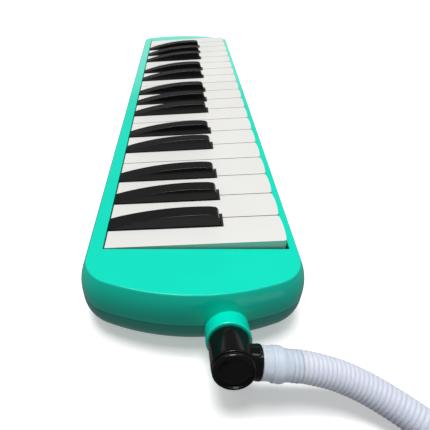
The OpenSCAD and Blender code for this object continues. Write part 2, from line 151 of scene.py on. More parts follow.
# The hose: its ribs, and its route as in the CAD
HOSE_R = 6.5
HOSE_PITCH = 1.9
HOSE_VALLEY = 0.55
ROUTE = [
    (42.5, -235.5, 19.1), (48, -235.9, 18), (55, -236.7, 16.3), (62, -238.2, 14.3),
    (70, -241.1, 12), (78, -245.4, 9.9), (86, -251.2, 8.3), (94, -258.6, 7.3),
    (101, -267.2, 7), (107, -277.3, 7), (111.5, -288.3, 7), (114.5, -300, 7),
    (116, -312, 7), (116.5, -330, 7), (116.5, -350, 7), (116.5, -368, 7),
    (115.5, -382, 7), (112, -394, 7), (106, -405, 7), (97, -415, 7),
    (86, -422, 7), (74, -426, 7), (62, -427, 7), (50, -425, 7),
    (38.5, -420, 7), (28.5, -412, 7), (20.5, -402, 7), (15, -391, 7),
    (12, -379, 7), (11, -367, 7), (11, -354, 7)]
MOUTHPIECE_LEN = 62

# The camera: its place, how far it looks down in degrees, its lens and its sideways shift
CAMERA_AT = (-4.4, -315.3, 161)
CAMERA_DOWN = 38.82
SENSOR_WIDTH = 36
LENS = 31.56
LENS_SHIFT = 0.0777

FLOOR_HALF = 4
FLOOR_DROP = 0.0002


# ---------------------------------------------------------------- mesh helpers

def spaced(start, end, count):
    """count + 1 even steps from start to end."""
    return [start + (end - start) * i / count for i in range(count + 1)]


def circle(radius, count):
    """count points on a circle about the origin."""
    turns = [2 * math.pi * k / count for k in range(count)]
    return [(radius * math.cos(a), radius * math.sin(a)) for a in turns]


def add_object(bm, name):
    """Turns a bmesh in millimetres into an object of the scene."""
    bmesh.ops.recalc_face_normals(bm, faces=bm.faces)
    bmesh.ops.scale(bm, vec=(MM, MM, MM), verts=bm.verts)
    mesh = bpy.data.meshes.new(name)
    bm.to_mesh(mesh)
    bm.free()
    new = bpy.data.objects.new(name, mesh)
    bpy.context.scene.collection.objects.link(new)
    return new


def add_piece(bm, name, body, material, sharp=40):
    """Turns a bmesh in millimetres into a shown piece that rides on a body."""
    bmesh.ops.remove_doubles(bm, verts=bm.verts, dist=0.0005)
    piece = add_object(bm, name)
    smooth(piece, sharp)
    piece.data.materials.append(material)
    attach(piece, body)
    return piece


def smooth(piece, sharp):
    """Smooth shading, except over edges that turn by more than sharp degrees."""
    for face in piece.data.polygons:
        face.use_smooth = True
    piece.data.set_sharp_from_angle(angle=math.radians(sharp))
    modifier = piece.modifiers.new("even_shading", "WEIGHTED_NORMAL")
    modifier.keep_sharp = True


def add_ring(bm, points):
    return [bm.verts.new(p) for p in points]


def bridge(bm, rings, closed=False):
    """Joins rings of the same count with quads. closed joins the last ring to the first as well."""
    pairs = list(zip(rings, rings[1:]))
    if closed:
        pairs.append((rings[-1], rings[0]))
    for a, b in pairs:
        for i in range(len(a)):
            j = (i + 1) % len(a)
            bm.faces.new((a[i], a[j], b[j], b[i]))


def rounded_path(corners, steps=4):
    """A line through (x, y, radius) corners, each rounded over about its radius."""
    points = []
    for i, (x, y, radius) in enumerate(corners):
        here = Vector((x, y))
        if radius == 0 or i in (0, len(corners) - 1):
            points.append(here)
            continue
        before = Vector(corners[i - 1][:2])
        after = Vector(corners[i + 1][:2])
        start = here + (before - here).normalized() * min(radius, (before - here).length / 2)
        end = here + (after - here).normalized() * min(radius, (after - here).length / 2)
        for t in spaced(0, 1, steps):
            points.append(start * (1 - t) ** 2 + here * 2 * t * (1 - t) + end * t ** 2)
    return points


def lathe(bm, profile, place, sides=64, closed=True):
    """Turns a profile of (radius, height) points about +Z of place."""
    rings = []
    for radius, height in profile:
        rings.append(add_ring(bm, [place @ Vector((x, y, height)) for x, y in circle(radius, sides)]))
    bridge(bm, rings, closed)
    return rings


def close_ends(bm, rings):
    """Puts a face across the first and the last ring."""
    bm.faces.new(reversed(rings[0]))
    bm.faces.new(rings[-1])


def socket_place():
    """The socket's frame: its origin on the end wall and +Z out along its axis."""
    y = NEAR_Y + NEAR_CROWN_R - math.sqrt(NEAR_CROWN_R ** 2 - (SOCKET_X - CASE_X) ** 2)
    turn = Matrix.Rotation(math.pi / 2 - SOCKET_TILT, 4, "X")
    return Matrix.Translation((SOCKET_X, y, SOCKET_Z)) @ turn


def spigot_place():
    """The side spigot's frame: its origin on the elbow's axis and +Z outwards."""
    turn = Matrix.Rotation(-SPIGOT_DROP, 4, "Z") @ Matrix.Rotation(math.pi / 2, 4, "Y")
    return socket_place() @ Matrix.Translation((0, 0, SPIGOT_AT)) @ turn


def hose_end_place():
    """The frame at the hose's far end: +Z on along the mouthpiece."""
    return Matrix.Translation(ROUTE[-1]) @ Matrix.Rotation(-math.pi / 2, 4, "X")


# ---------------------------------------------------------------- materials

def new_material(name, color, roughness, coat=0.0, metallic=0.0):
    material = bpy.data.materials.new(name)
    material.use_nodes = True
    shader = material.node_tree.nodes["Principled BSDF"]
    shader.inputs["Base Color"].default_value = (*color, 1)
    shader.inputs["Roughness"].default_value = roughness
    shader.inputs["Metallic"].default_value = metallic
    shader.inputs["Coat Weight"].default_value = coat
    shader.inputs["Coat Roughness"].default_value = 0.08
    return material, material.node_tree, shader


def add_noise(tree, scale, detail=3.0, stretch=(1, 1, 1)):
    """Noise in the object's own space, with the scale in waves per metre."""
    place = tree.nodes.new("ShaderNodeTexCoord")
    mapping = tree.nodes.new("ShaderNodeMapping")
    mapping.inputs["Scale"].default_value = stretch
    noise = tree.nodes.new("ShaderNodeTexNoise")
    noise.inputs["Scale"].default_value = scale
    noise.inputs["Detail"].default_value = detail
    tree.links.new(place.outputs["Object"], mapping.inputs["Vector"])
    tree.links.new(mapping.outputs["Vector"], noise.inputs["Vector"])
    return noise


def vary_color(tree, shader, noise, low, high):
    ramp = tree.nodes.new("ShaderNodeValToRGB")
    ramp.color_ramp.elements[0].position = 0.3
    ramp.color_ramp.elements[0].color = (*low, 1)
    ramp.color_ramp.elements[1].position = 0.7
    ramp.color_ramp.elements[1].color = (*high, 1)
    tree.links.new(noise.outputs["Fac"], ramp.inputs["Fac"])
    tree.links.new(ramp.outputs["Color"], shader.inputs["Base Color"])


def vary_roughness(tree, shader, noise, low, high):
    spread = tree.nodes.new("ShaderNodeMapRange")
    spread.inputs["To Min"].default_value = low
    spread.inputs["To Max"].default_value = high
    tree.links.new(noise.outputs["Fac"], spread.inputs["Value"])
    tree.links.new(spread.outputs["Result"], shader.inputs["Roughness"])


def add_bump(tree, shader, noise, depth):
    """A surface relief of the given depth, in millimetres."""
    bump = tree.nodes.new("ShaderNodeBump")
    bump.inputs["Strength"].default_value = 1.0
    bump.inputs["Distance"].default_value = depth * MM
    tree.links.new(noise.outputs["Fac"], bump.inputs["Height"])
    tree.links.new(bump.outputs["Normal"], shader.inputs["Normal"])


def plastic(name, low, high, roughness, coat=0.0, gloss=0.5, grain=900, depth=0.01):
    """Moulded plastic: slow colour drift, uneven gloss and a fine skin."""
    material, tree, shader = new_material(name, low, roughness[0], coat)
    shader.inputs["Specular IOR Level"].default_value = gloss
    vary_color(tree, shader, add_noise(tree, 14), low, high)
    vary_roughness(tree, shader, add_noise(tree, 60), *roughness)
    add_bump(tree, shader, add_noise(tree, grain), depth)
    return material


def metal(name, low, high, roughness, stretch):
    """Bright metal with fine lines drawn along one axis."""
    material, tree, shader = new_material(name, low, roughness[0], metallic=1.0)
    lines = add_noise(tree, 500, stretch=stretch)
    vary_color(tree, shader, lines, low, high)
    vary_roughness(tree, shader, lines, *roughness)
    add_bump(tree, shader, lines, 0.01)
    return material


def felt(name, low, high):
    material, tree, shader = new_material(name, low, 0.95)
    shader.inputs["Sheen Weight"].default_value = 0.6
    fibres = add_noise(tree, 1600, detail=6.0)
    vary_color(tree, shader, fibres, low, high)
    add_bump(tree, shader, fibres, 0.2)
    return material


def soft_plastic(name, low, high):
    """The hose's milky skin, which light enters a little."""
    material = plastic(name, low, high, (0.36, 0.5), grain=500, depth=0.02)
    shader = material.node_tree.nodes["Principled BSDF"]
    shader.inputs["Subsurface Weight"].default_value = 0.7
    shader.inputs["Subsurface Radius"].default_value = (1.0, 1.0, 1.1)
    shader.inputs["Subsurface Scale"].default_value = 4 * MM
    return material


def case_materials():
    return {
        "case_top": plastic(
            "mint_plastic", low=(0, 0.70, 0.50), high=(0, 0.75, 0.54),
            roughness=(0.12, 0.18), coat=0.15, gloss=0.4),
        # The lower shell's mint is much darker than the upper shell's: painted shade for the low part of
        # the case, which the lights leave dark.
        "case_bottom": plastic(
            "mint_plastic_painted_shade", low=(0, 0.42, 0.32), high=(0, 0.47, 0.36),
            roughness=(0.2, 0.3), coat=0.25),
    }


def key_materials():
    return {
        "white_key": plastic(
            "white_key_plastic", low=(0.745, 0.74, 0.715), high=(0.795, 0.79, 0.765),
            roughness=(0.34, 0.44)),
        "black_key": plastic(
            "black_key_plastic", low=(0.006, 0.006, 0.006), high=(0.009, 0.009, 0.009),
            roughness=(0.15, 0.22), gloss=0.32),
    }


def hose_materials():
    return {
        "elbow_black": plastic(
            "elbow_plastic", low=(0.002, 0.002, 0.002), high=(0.004, 0.004, 0.004),
            roughness=(0.1, 0.15), gloss=0.25),
        "cuff_pale": soft_plastic("cuff_plastic", low=(0.54, 0.61, 0.73), high=(0.61, 0.68, 0.79)),
        "hose_pale": soft_plastic("hose_plastic", low=(0.63, 0.67, 0.77), high=(0.71, 0.74, 0.83)),
    }


def inner_materials():
    """Parts of the action and the reed block, which are hidden while the case is closed."""
    return {
        "ivory_plastic": plastic(
            "ivory_plastic", low=(0.72, 0.68, 0.58), high=(0.8, 0.76, 0.66), roughness=(0.4, 0.55)),
        "dark_plastic": plastic(
            "dark_plastic", low=(0.05, 0.06, 0.07), high=(0.08, 0.09, 0.1), roughness=(0.4, 0.55)),
        "brass_plate": metal(
            "brass", low=(0.72, 0.52, 0.2), high=(0.82, 0.62, 0.28),
            roughness=(0.22, 0.35), stretch=(0.1, 1, 1)),
        "reed_bronze": metal(
            "bronze", low=(0.7, 0.45, 0.2), high=(0.85, 0.58, 0.28),
            roughness=(0.2, 0.32), stretch=(0.1, 1, 1)),
        "steel": metal(
            "steel", low=(0.55, 0.55, 0.57), high=(0.68, 0.68, 0.7),
            roughness=(0.2, 0.34), stretch=(1, 0.1, 1)),
        "spring_steel": metal(
            "spring_steel", low=(0.36, 0.37, 0.4), high=(0.48, 0.49, 0.52),
            roughness=(0.25, 0.4), stretch=(0.1, 1, 1)),
        "felt": felt("red_felt", low=(0.3, 0.03, 0.03), high=(0.42, 0.06, 0.06)),
        "rubber": plastic(
            "rubber", low=(0.02, 0.02, 0.02), high=(0.035, 0.035, 0.035),
            roughness=(0.7, 0.85), depth=0.03),
    }


def make_materials():
    return {**case_materials(), **key_materials(), **hose_materials(), **inner_materials()}


def dress_cad_nodes(materials):
    """Gives each CAD node that stays in view the material of its slot."""
    for part in frame["record"]["subparts"]:
        mesh = frame["nodes"][part["node"]].data
        mesh.materials.clear()
        mesh.materials.append(materials[part["material_slot"]])


# ---------------------------------------------------------------- camera and light

def make_camera():
    data = bpy.data.cameras.new("camera")
    camera = bpy.data.objects.new("camera", data)
    camera.location = Vector(CAMERA_AT) * MM
    camera.rotation_euler = (math.radians(90 - CAMERA_DOWN), 0, 0)
    data.sensor_width = SENSOR_WIDTH
    data.lens = LENS
    data.shift_x = LENS_SHIFT
    data.clip_start = 0.01
    bpy.context.scene.collection.objects.link(camera)
    bpy.context.scene.camera = camera


def aim(light, location, target):
    light.location = location
    light.rotation_euler = (Vector(target) - Vector(location)).to_track_quat("-Z", "Y").to_euler()
    bpy.context.scene.collection.objects.link(light)


def add_sun(name, location, angle, strength):
    """A distant light that shines from location to the origin. angle is in degrees."""
    data = bpy.data.lights.new(name, "SUN")
    data.angle = math.radians(angle)
    data.energy = strength
    aim(bpy.data.objects.new(name, data), location, (0, 0, 0))


def add_area_light(name, location, target, size, power):
    """A rectangular softbox, with its places and size in metres."""
    data = bpy.data.lights.new(name, "AREA")
    data.shape = "RECTANGLE"
    data.size = size[0]
    data.size_y = size[1]
    data.energy = power
    light = bpy.data.objects.new(name, data)
    light.visible_camera = False
    aim(light, location, target)
    return light


def make_world():
    world = bpy.data.worlds.new("studio")
    world.use_nodes = True
    sky = world.node_tree.nodes["Background"]
    sky.inputs["Color"].default_value = (1, 1, 1, 1)
    sky.inputs["Strength"].default_value = 0.19
    bpy.context.scene.world = world


def link_receivers(light, name, pieces):
    """A collection of pieces that the light's linking goes by."""
    linked = bpy.data.collections.new(name)
    for piece in pieces:
        linked.objects.link(piece)
    light.light_linking.receiver_collection = linked
    return linked


def make_lights(hose_pieces, black_caps):
    """Overhead light, a far backdrop that leaves out the black keys, and a fill for the hose."""
    make_world()
    add_sun("overhead", location=(-0.15, 0.3, 2), angle=28, strength=2.0)
    add_area_light("softbox", location=(0, 0.05, 1.1), target=(0, -0.1, 0), size=(1.8, 0.16), power=5)
    backdrop = add_area_light(
        "backdrop", location=(0, 1.7, 0.35), target=(0, 0, 0.1), size=(3, 0.6), power=3.3)
    unlit = link_receivers(backdrop, "backdrop_unlit", black_caps)
    for item in unlit.collection_objects:
        item.light_linking.link_state = "EXCLUDE"
    fill = add_area_light(
        "hose_fill", location=(0.3, -0.8, 0.05), target=(0.08, -0.26, 0.01), size=(0.5, 0.3), power=1.45)
    link_receivers(fill, "hose_fill_receivers", hose_pieces)


def make_floor():
    """A pale floor that lights nothing and shows in no reflection."""
    bm = bmesh.new()
    bmesh.ops.create_grid(bm, x_segments=1, y_segments=1, size=FLOOR_HALF)
    mesh = bpy.data.meshes.new("floor")
    bm.to_mesh(mesh)
    bm.free()
    floor = bpy.data.objects.new("floor", mesh)
    floor.location = (0, 0, -FLOOR_DROP)
    floor.visible_diffuse = False
    floor.visible_glossy = False
    bpy.context.scene.collection.objects.link(floor)
    material, tree, shader = new_material("pale_floor", (0.97, 0.97, 0.97), 0.9)
    vary_color(tree, shader, add_noise(tree, 3), (0.97, 0.97, 0.97), (0.98, 0.98, 0.98))
    shader.inputs["Emission Color"].default_value = (1, 1, 1, 1)
    shader.inputs["Emission Strength"].default_value = 0.35
    mesh.materials.append(material)


# ---------------------------------------------------------------- case

def arc(cx, cy, radius, start, end, steps):
    """Points on an arc in degrees, without its first one."""
    points = []
    for a in spaced(start, end, steps)[1:]:
        t = math.radians(a)
        points.append((cx + radius * math.cos(t), cy + radius * math.sin(t)))
    return points


def case_outline(draw):
    """The case's outline, drawn in by draw."""
    near_x = HALF_W - NEAR_CORNER_R
    far_x = HALF_W - FAR_CORNER_R
    near_reach = NEAR_CROWN_R - NEAR_CORNER_R
    far_reach = FAR_CROWN_R - FAR_CORNER_R
    near_swing = math.degrees(math.asin(near_x / near_reach))
    far_swing = math.degrees(math.asin(far_x / far_reach))
    near_cy = NEAR_Y + NEAR_CROWN_R
    far_cy = FAR_Y - FAR_CROWN_R
    near_y = near_cy - math.sqrt(near_reach ** 2 - near_x ** 2)
    far_y = far_cy + math.sqrt(far_reach ** 2 - far_x ** 2)
    return (
        arc(CASE_X, near_cy, NEAR_CROWN_R - draw, 270 - near_swing, 270 + near_swing, 30)
        + arc(CASE_X + near_x, near_y, NEAR_CORNER_R - draw, 270 + near_swing, 360, 18)
        + [(CASE_X + HALF_W - draw, y) for y in spaced(near_y, far_y, 12)[1:]]
        + arc(CASE_X + far_x, far_y, FAR_CORNER_R - draw, 0, 90 - far_swing, 14)
        + arc(CASE_X, far_cy, FAR_CROWN_R - draw, 90 - far_swing, 90 + far_swing, 30)
        + arc(CASE_X - far_x, far_y, FAR_CORNER_R - draw, 90 + far_swing, 180, 14)
        + [(CASE_X + draw - HALF_W, y) for y in spaced(far_y, near_y, 12)[1:]]
        + arc(CASE_X - near_x, near_y, NEAR_CORNER_R - draw, 180, 270 - near_swing, 18))


def outline_ring(bm, draw, z):
    return add_ring(bm, [(x, y, z) for x, y in case_outline(draw)])


def opening_ring(bm, spread, z):
    """The keyboard opening's edge, with a point for each point of the outline."""
    points = []
    for x, y in case_outline(SHOULDER):
        points.append((min(max(x, RAIL_X - spread), LIP_X + spread),
                       min(max(y, KEYS_Y - PIT_GAP - spread), KEYS_END_Y + PIT_GAP + spread), z))
    return add_ring(bm, points)


def shoulder_draw(z):
    """How far the upper shell is drawn in at a height."""
    return SHOULDER * max(0.0, (z - SHOULDER_Z) / (TOP_Z - SHOULDER_Z)) ** 2


def upper_profile():
    """The upper shell's outside from the seam to the flat top, as (draw, height)."""
    crease = [(draw, SEAM_Z + away) for draw, away in CREASE]
    wall = [(shoulder_draw(z), z) for z in spaced(SHOULDER_Z, TOP_Z - TOP_EDGE_DOWN, 10)]
    low = Vector(wall[-1])
    corner = Vector((low.x + TOP_CORNER_IN, TOP_Z))
    end = Vector((SHOULDER + TOP_EDGE_IN, TOP_Z))
    edge = [low * (1 - t) ** 2 + corner * 2 * t * (1 - t) + end * t ** 2 for t in spaced(0, 1, 6)[1:]]
    return crease + wall + [tuple(p) for p in edge]


def make_upper_shell(materials):
    bm = bmesh.new()
    rings = [outline_ring(bm, draw, z) for draw, z in upper_profile()]
    for spread, z in ((0.2, TOP_Z), (0.05, TOP_Z - 0.06), (0, TOP_Z - 0.25), (0, TOP_Z - WALL)):
        rings.append(opening_ring(bm, spread, z))
    for z in spaced(TOP_Z - WALL, SHOULDER_Z, 4):
        rings.append(outline_ring(bm, WALL + shoulder_draw(z), z))
    rings.append(outline_ring(bm, WALL, SEAM_Z + SEAM_GAP))
    bridge(bm, rings, closed=True)
    shell = add_piece(bm, "upper_shell", "root", materials["case_top"], sharp=50)
    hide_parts("top_case")


def under_form(wall, steps):
    """The rounded underside as (draw, height), from its upper end down."""
    points = []
    for a in spaced(0, math.pi / 2, steps):
        points.append((wall + (UNDER_DRAW - wall) * (1 - math.cos(a)),
                       wall + (UNDER_H - wall) * (1 - math.sin(a))))
    return points


def screw_places():
    """Middle of each case screw, from the loose solids of the CAD node."""
    bm = bmesh.new()
    bm.from_mesh(frame["nodes"]["case_screws"].data)
    bmesh.ops.remove_doubles(bm, verts=bm.verts, dist=1e-6)
    places = []
    left = set(bm.verts)
    while left:
        solid = set()
        edge = {left.pop()}
        while edge:
            solid |= edge
            edge = {e.other_vert(v) for v in edge for e in v.link_edges} - solid
        left -= solid
        xs = [v.co.x / MM for v in solid]
        ys = [v.co.y / MM for v in solid]
        places.append(((min(xs) + max(xs)) / 2, (min(ys) + max(ys)) / 2))
    bm.free()
    return sorted(places)


def pillars(radius, z0, z1, name):
    """One upright cylinder at each screw, as an object that the shell is cut or joined with."""
    bm = bmesh.new()
    for x, y in screw_places():
        rings = [add_ring(bm, [(x + dx, y + dy, z) for dx, dy in circle(radius, 32)]) for z in (z0, z1)]
        bridge(bm, rings)
        close_ends(bm, rings)
    return add_object(bm, name)


def combine(piece, tool, operation):
    """Joins or cuts a piece with a helper object, for good, and removes the helper."""
    modifier = piece.modifiers.new("combine", "BOOLEAN")
    modifier.operation = operation
    modifier.solver = "EXACT"
    modifier.object = tool
    shading = piece.modifiers.get("even_shading")
    if shading:
        piece.modifiers.remove(shading)
    depsgraph = bpy.context.evaluated_depsgraph_get()
    result = bpy.data.meshes.new_from_object(piece.evaluated_get(depsgraph))
    piece.modifiers.clear()
    old = piece.data
    piece.data = result
    bpy.data.meshes.remove(old)
    bpy.data.objects.remove(tool)
    smooth(piece, 50)


def drain_place():
    """The drain button's frame, with +Z to the treble end, and the button's radius."""
    x0, x1 = cad_range("drain_button", 0)
    z0, z1 = cad_range("drain_button", 2)
    turn = Matrix.Rotation(-math.pi / 2, 4, "X")
    return Matrix.Translation(((x0 + x1) / 2, 0, (z0 + z1) / 2)) @ turn, (x1 - x0) / 2


def drain_cutter():
    """A rod where the drain button's guide goes through the treble end."""
    place, radius = drain_place()
    bm = bmesh.new()
    rings = lathe(bm, [(radius + 0.15, FAR_Y - 12), (radius + 0.15, FAR_Y + 2)], place, closed=False)
    close_ends(bm, rings)
    return add_object(bm, "drain_cutter")


def inner_form():
    """A solid a little inside the lower shell's outer form, which the bosses are kept to."""
    bm = bmesh.new()
    rings = [outline_ring(bm, INNER_DRAW, SEAM_Z)]
    rings += [outline_ring(bm, draw, z) for draw, z in under_form(INNER_DRAW, 10)]
    bridge(bm, rings)
    bm.faces.new(rings[0])
    bm.faces.new(reversed(rings[-1]))
    return add_object(bm, "inner_form")


def make_lower_shell(materials):
    bm = bmesh.new()
    rings = [outline_ring(bm, WALL, SEAM_Z - SEAM_GAP)]
    rings += [outline_ring(bm, draw, SEAM_Z - away) for draw, away in CREASE]
    rings += [outline_ring(bm, draw, z) for draw, z in under_form(0, 14)]
    bridge(bm, rings)
    bm.faces.new(reversed(rings[-1]))
    hollow = [rings[0]]
    hollow += [outline_ring(bm, draw, z) for draw, z in under_form(WALL, 6)]
    bridge(bm, hollow)
    bm.faces.new(hollow[-1])
    # The lower shell gets the darker mint, whose extra darkness is painted shade.
    shell = add_piece(bm, "lower_shell", "root", materials["case_bottom"], sharp=50)
    bosses = pillars(BOSS_R, BOSS_LOW_Z, SEAM_Z - 2 * SEAM_GAP, "boss_tool")
    combine(bosses, inner_form(), "INTERSECT")
    combine(shell, bosses, "UNION")
    combine(shell, pillars(RECESS_R, -1, RECESS_TOP_Z, "recess_tool"), "DIFFERENCE")
    combine(shell, drain_cutter(), "DIFFERENCE")
    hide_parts("bottom_case")


def make_collar(materials):
    bm = bmesh.new()
    profile = rounded_path([
        (COLLAR_R, -6, 0), (COLLAR_R, COLLAR_OUT, 0.9), (BORE_R, COLLAR_OUT, 0.3),
        (BORE_R, -14, 0.2), (BORE_R + 1.5, -14, 0.2), (BORE_R + 1.5, -6, 0)], 7)
    lathe(bm, profile, socket_place(), 96)
    collar = add_piece(bm, "socket_collar", "root", materials["case_top"])
    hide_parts("mouthpiece_socket")


# ---------------------------------------------------------------- keys

def crown_front(bm, depth):
    """Curves a key's straight front end in plan, so that its corners lie back by depth."""
    low = min(v.co.y for v in bm.verts)
    high = max(v.co.y for v in bm.verts)
    front = max(v.co.x for v in bm.verts)
    middle = (low + high) / 2
    half = (high - low) / 2
    for share in (-0.9, -0.75, -0.55, -0.3, 0, 0.3, 0.55, 0.75, 0.9):
        bmesh.ops.bisect_plane(bm, geom=list(bm.verts) + list(bm.edges) + list(bm.faces), dist=1e-4,
                               plane_co=(0, middle + half * share, 0), plane_no=(0, 1, 0))
    for vert in bm.verts:
        near = min(1.0, max(0.0, (vert.co.x - front + 5) / 4))
        vert.co.x -= depth * near * (abs(vert.co.y - middle) / half) ** 2.5


def round_front(bm, radius):
    """Pulls the upper front corner of a key's raised part in to a rounder shape."""
    top = max(v.co.z for v in bm.verts)
    raised = [v for v in bm.verts if v.co.z > top - radius]
    front = max(v.co.x for v in raised)
    for vert in raised:
        ahead = vert.co.x - (front - radius)
        up = vert.co.z - (top - radius)
        reach = math.hypot(ahead, up)
        if ahead > 0 and reach > radius:
            vert.co.x = front - radius + ahead * radius / reach
            vert.co.z = top - radius + up * radius / reach


def make_key_cap(node, slot, materials, width, steps, crown=0, rounding=0):
    """A finished copy of a key: its upper outward edges are rounded over by width."""
    bm = bmesh.new()
    bm.from_mesh(frame["nodes"][node].data)
    bmesh.ops.scale(bm, vec=(1 / MM, 1 / MM, 1 / MM), verts=bm.verts)
    bmesh.ops.remove_doubles(bm, verts=bm.verts, dist=0.002)
    bmesh.ops.dissolve_limit(bm, angle_limit=math.radians(0.6), verts=bm.verts, edges=bm.edges)
    if crown:
        crown_front(bm, crown)
    if rounding:
        round_front(bm, rounding)
    edges = []
    for edge in bm.edges:
        if len(edge.link_faces) != 2 or min(v.co.z for v in edge.verts) < EDGE_LOW_Z:
            continue
        if edge.is_convex and edge.calc_face_angle() > EDGE_TURN:
            edges.append(edge)
    bmesh.ops.bevel(bm, geom=edges, offset=width, offset_type="OFFSET", segments=steps,
                    profile=0.5, affect="EDGES", clamp_overlap=True)
    body = body_of(frame["nodes"][node])[0]
    cap = add_piece(bm, node.replace("key", "key_cap"), body, materials[slot], sharp=35)
    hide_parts(node)
    return cap


def make_keys(materials):
    """All the keys' caps. The black ones are returned."""
    black_caps = []
    for node in sorted(frame["nodes"]):
        if node.startswith("white_key"):
            make_key_cap(node, "white_key", materials, WHITE_EDGE, 3, crown=WHITE_CROWN)
        if node.startswith("black_key"):
            black_caps.append(
                make_key_cap(node, "black_key", materials, BLACK_EDGE, 4, rounding=BLACK_FRONT_R))
    return black_caps


# ---------------------------------------------------------------- elbow, cuff, hose and mouthpiece

def make_elbow(materials):
    """The barrel, with its sleeve inside the collar, and the spigot at its side."""
    bm = bmesh.new()
    end = BARREL_END
    lathe(bm, rounded_path([
        (BORE_R - 0.05, -11, 0.3), (BORE_R - 0.05, BARREL_START, 0), (BARREL_R, BARREL_START, 1.6),
        (BARREL_END_R + 0.05, end, 1.1), (8.1, end, 0.2), (8.1, end + 0.5, 0),
        (ELBOW_BORE_R, end + 0.5, 0), (ELBOW_BORE_R, -11, 0.3)], 6), socket_place(), 96)
    lathe(bm, rounded_path([
        (SPIGOT_R, 4, 0), (6.9, 5, 0), (7.0, FLANGE[0] + 0.3, 0), (SPIGOT_R, FLANGE[0] + 0.3, 0),
        (SPIGOT_R, CUFF[2], 0.4), (SPIGOT_BORE_R, CUFF[2], 0.2), (SPIGOT_BORE_R, 4, 0)], 4),
        spigot_place(), 48)
    elbow = add_piece(bm, "elbow_body", "elbow", materials["elbow_black"])
    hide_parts("elbow_connector")


def make_end_cap(materials):
    """The elbow's round end: a stepped rim round a slightly dished disc."""
    bm = bmesh.new()
    end = BARREL_END
    lathe(bm, rounded_path([
        (0.01, end + 0.5, 0), (7.8, end + 0.5, 0), (8.7, end + 0.55, 0.3), (8.75, end + 1.6, 0.9),
        (7.9, end + 2.6, 0.5), (7.3, end + 2.35, 0.25), (7.1, end + 1.6, 0.3), (6.6, end + 1.5, 0.2),
        (6.2, end + 1.7, 0.3), (0.01, end + 1.55, 0)], 5), socket_place(), 96)
    cap = add_piece(bm, "elbow_cap", "elbow", materials["elbow_black"])
    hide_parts("elbow_end_cap")


def make_flange(materials):
    """The spigot's flange: ribs across its rim, between two plain edges."""
    bm = bmesh.new()
    samples = FLANGE_RIBS * 6
    thick = FLANGE[1] - FLANGE[0]
    stations = [(CUFF_BORE_R, 0, 0), (6.75, 0, 0), (7.1, 0.2, 0), (7.15, 0.3, 0.14),
                (7.15, thick - 0.5, 0.14), (7.1, thick - 0.4, 0), (7.1, thick - 0.2, 0),
                (6.9, thick, 0), (CUFF_BORE_R, thick, 0)]
    rings = []
    for radius, height, depth in stations:
        ring = []
        for k in range(samples):
            a = 2 * math.pi * k / samples
            r = radius - depth * (0.5 + 0.5 * math.cos(FLANGE_RIBS * a))
            ring.append(spigot_place() @ Vector((r * math.cos(a), r * math.sin(a), FLANGE[0] + height)))
        rings.append(add_ring(bm, ring))
    bridge(bm, rings, closed=True)
    flange = add_piece(bm, "spigot_flange", "elbow", materials["elbow_black"], sharp=50)
    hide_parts("hose_flange")


def make_hose_cuff(materials):
    """The smooth cuff with its raised ring. Two ribs lead over to the hose."""
    bm = bmesh.new()
    valley = HOSE_R - HOSE_VALLEY
    ribs = []
    for at in (CUFF[3] - 2 * HOSE_PITCH, CUFF[3] - HOSE_PITCH):
        ribs += [(valley, at, 0.2), (HOSE_R, at + 0.4, 0.35), (HOSE_R, at + HOSE_PITCH - 0.4, 0.35)]
    lathe(bm, rounded_path([
        (CUFF_BORE_R, CUFF[0], 0), (6.6, CUFF[0], 0.2),
        (6.9, CUFF[0] + 0.5, 0.3), (6.9, CUFF[0] + 1.2, 0.3),
        (6.75, CUFF[0] + 1.5, 0.2), (6.78, CUFF[1] - 0.5, 0.2), (7.15, CUFF[1] - 0.2, 0.2),
        (7.35, CUFF[1] + 0.5, 0.3), (7.15, CUFF[1] + 1, 0.3), (7.35, CUFF[1] + 2.2, 0.8),
        (7.3, CUFF[2] - 2.6, 1), (6.45, CUFF[2] - 1, 0.8), (6.4, CUFF[2] + 0.9, 0.2)] + ribs + [
        (valley, CUFF[3], 0.1), (valley, CUFF[3] + 0.2, 0), (CUFF_BORE_R, CUFF[3] + 0.2, 0)], 5),
        spigot_place(), 96)
    cuff = add_piece(bm, "hose_cuff_moulded", "elbow", materials["cuff_pale"])
    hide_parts("hose_cuff")
    return cuff


def curve_through(points, first, last, steps):
    """A smooth curve through points, with steps between each two. first and last set its ends."""
    points = [Vector(p) for p in points]
    slopes = [(b - a) / 2 for a, b in zip(points, points[2:])]
    slopes = [first * (points[1] - points[0]).length] + slopes
    slopes += [last * (points[-1] - points[-2]).length]
    line = []
    for i in range(len(points) - 1):
        for k in range(steps):
            t = k / steps
            line.append(points[i] * (2 * t ** 3 - 3 * t ** 2 + 1) + slopes[i] * (t ** 3 - 2 * t ** 2 + t)
                        + points[i + 1] * (3 * t ** 2 - 2 * t ** 3) + slopes[i + 1] * (t ** 3 - t ** 2))
    return line + [points[-1]]


def even_steps(line, step):
    """Points at about a step's distance along a line."""
    lengths = [0.0]
    for a, b in zip(line, line[1:]):
        lengths.append(lengths[-1] + (b - a).length)
    count = round(lengths[-1] / step)
    points = []
    k = 0
    for target in spaced(0, lengths[-1], count):
        while k < len(line) - 2 and lengths[k + 1] < target:
            k += 1
        t = (target - lengths[k]) / (lengths[k + 1] - lengths[k])
        points.append(line[k].lerp(line[k + 1], min(1.0, t)))
    return points, lengths[-1] / count


def hose_radius(along):
    """Corrugation: round ribs with narrow valleys between them."""
    wave = abs(math.sin(math.pi * along / HOSE_PITCH))
    return HOSE_R - HOSE_VALLEY + HOSE_VALLEY * wave ** 0.6


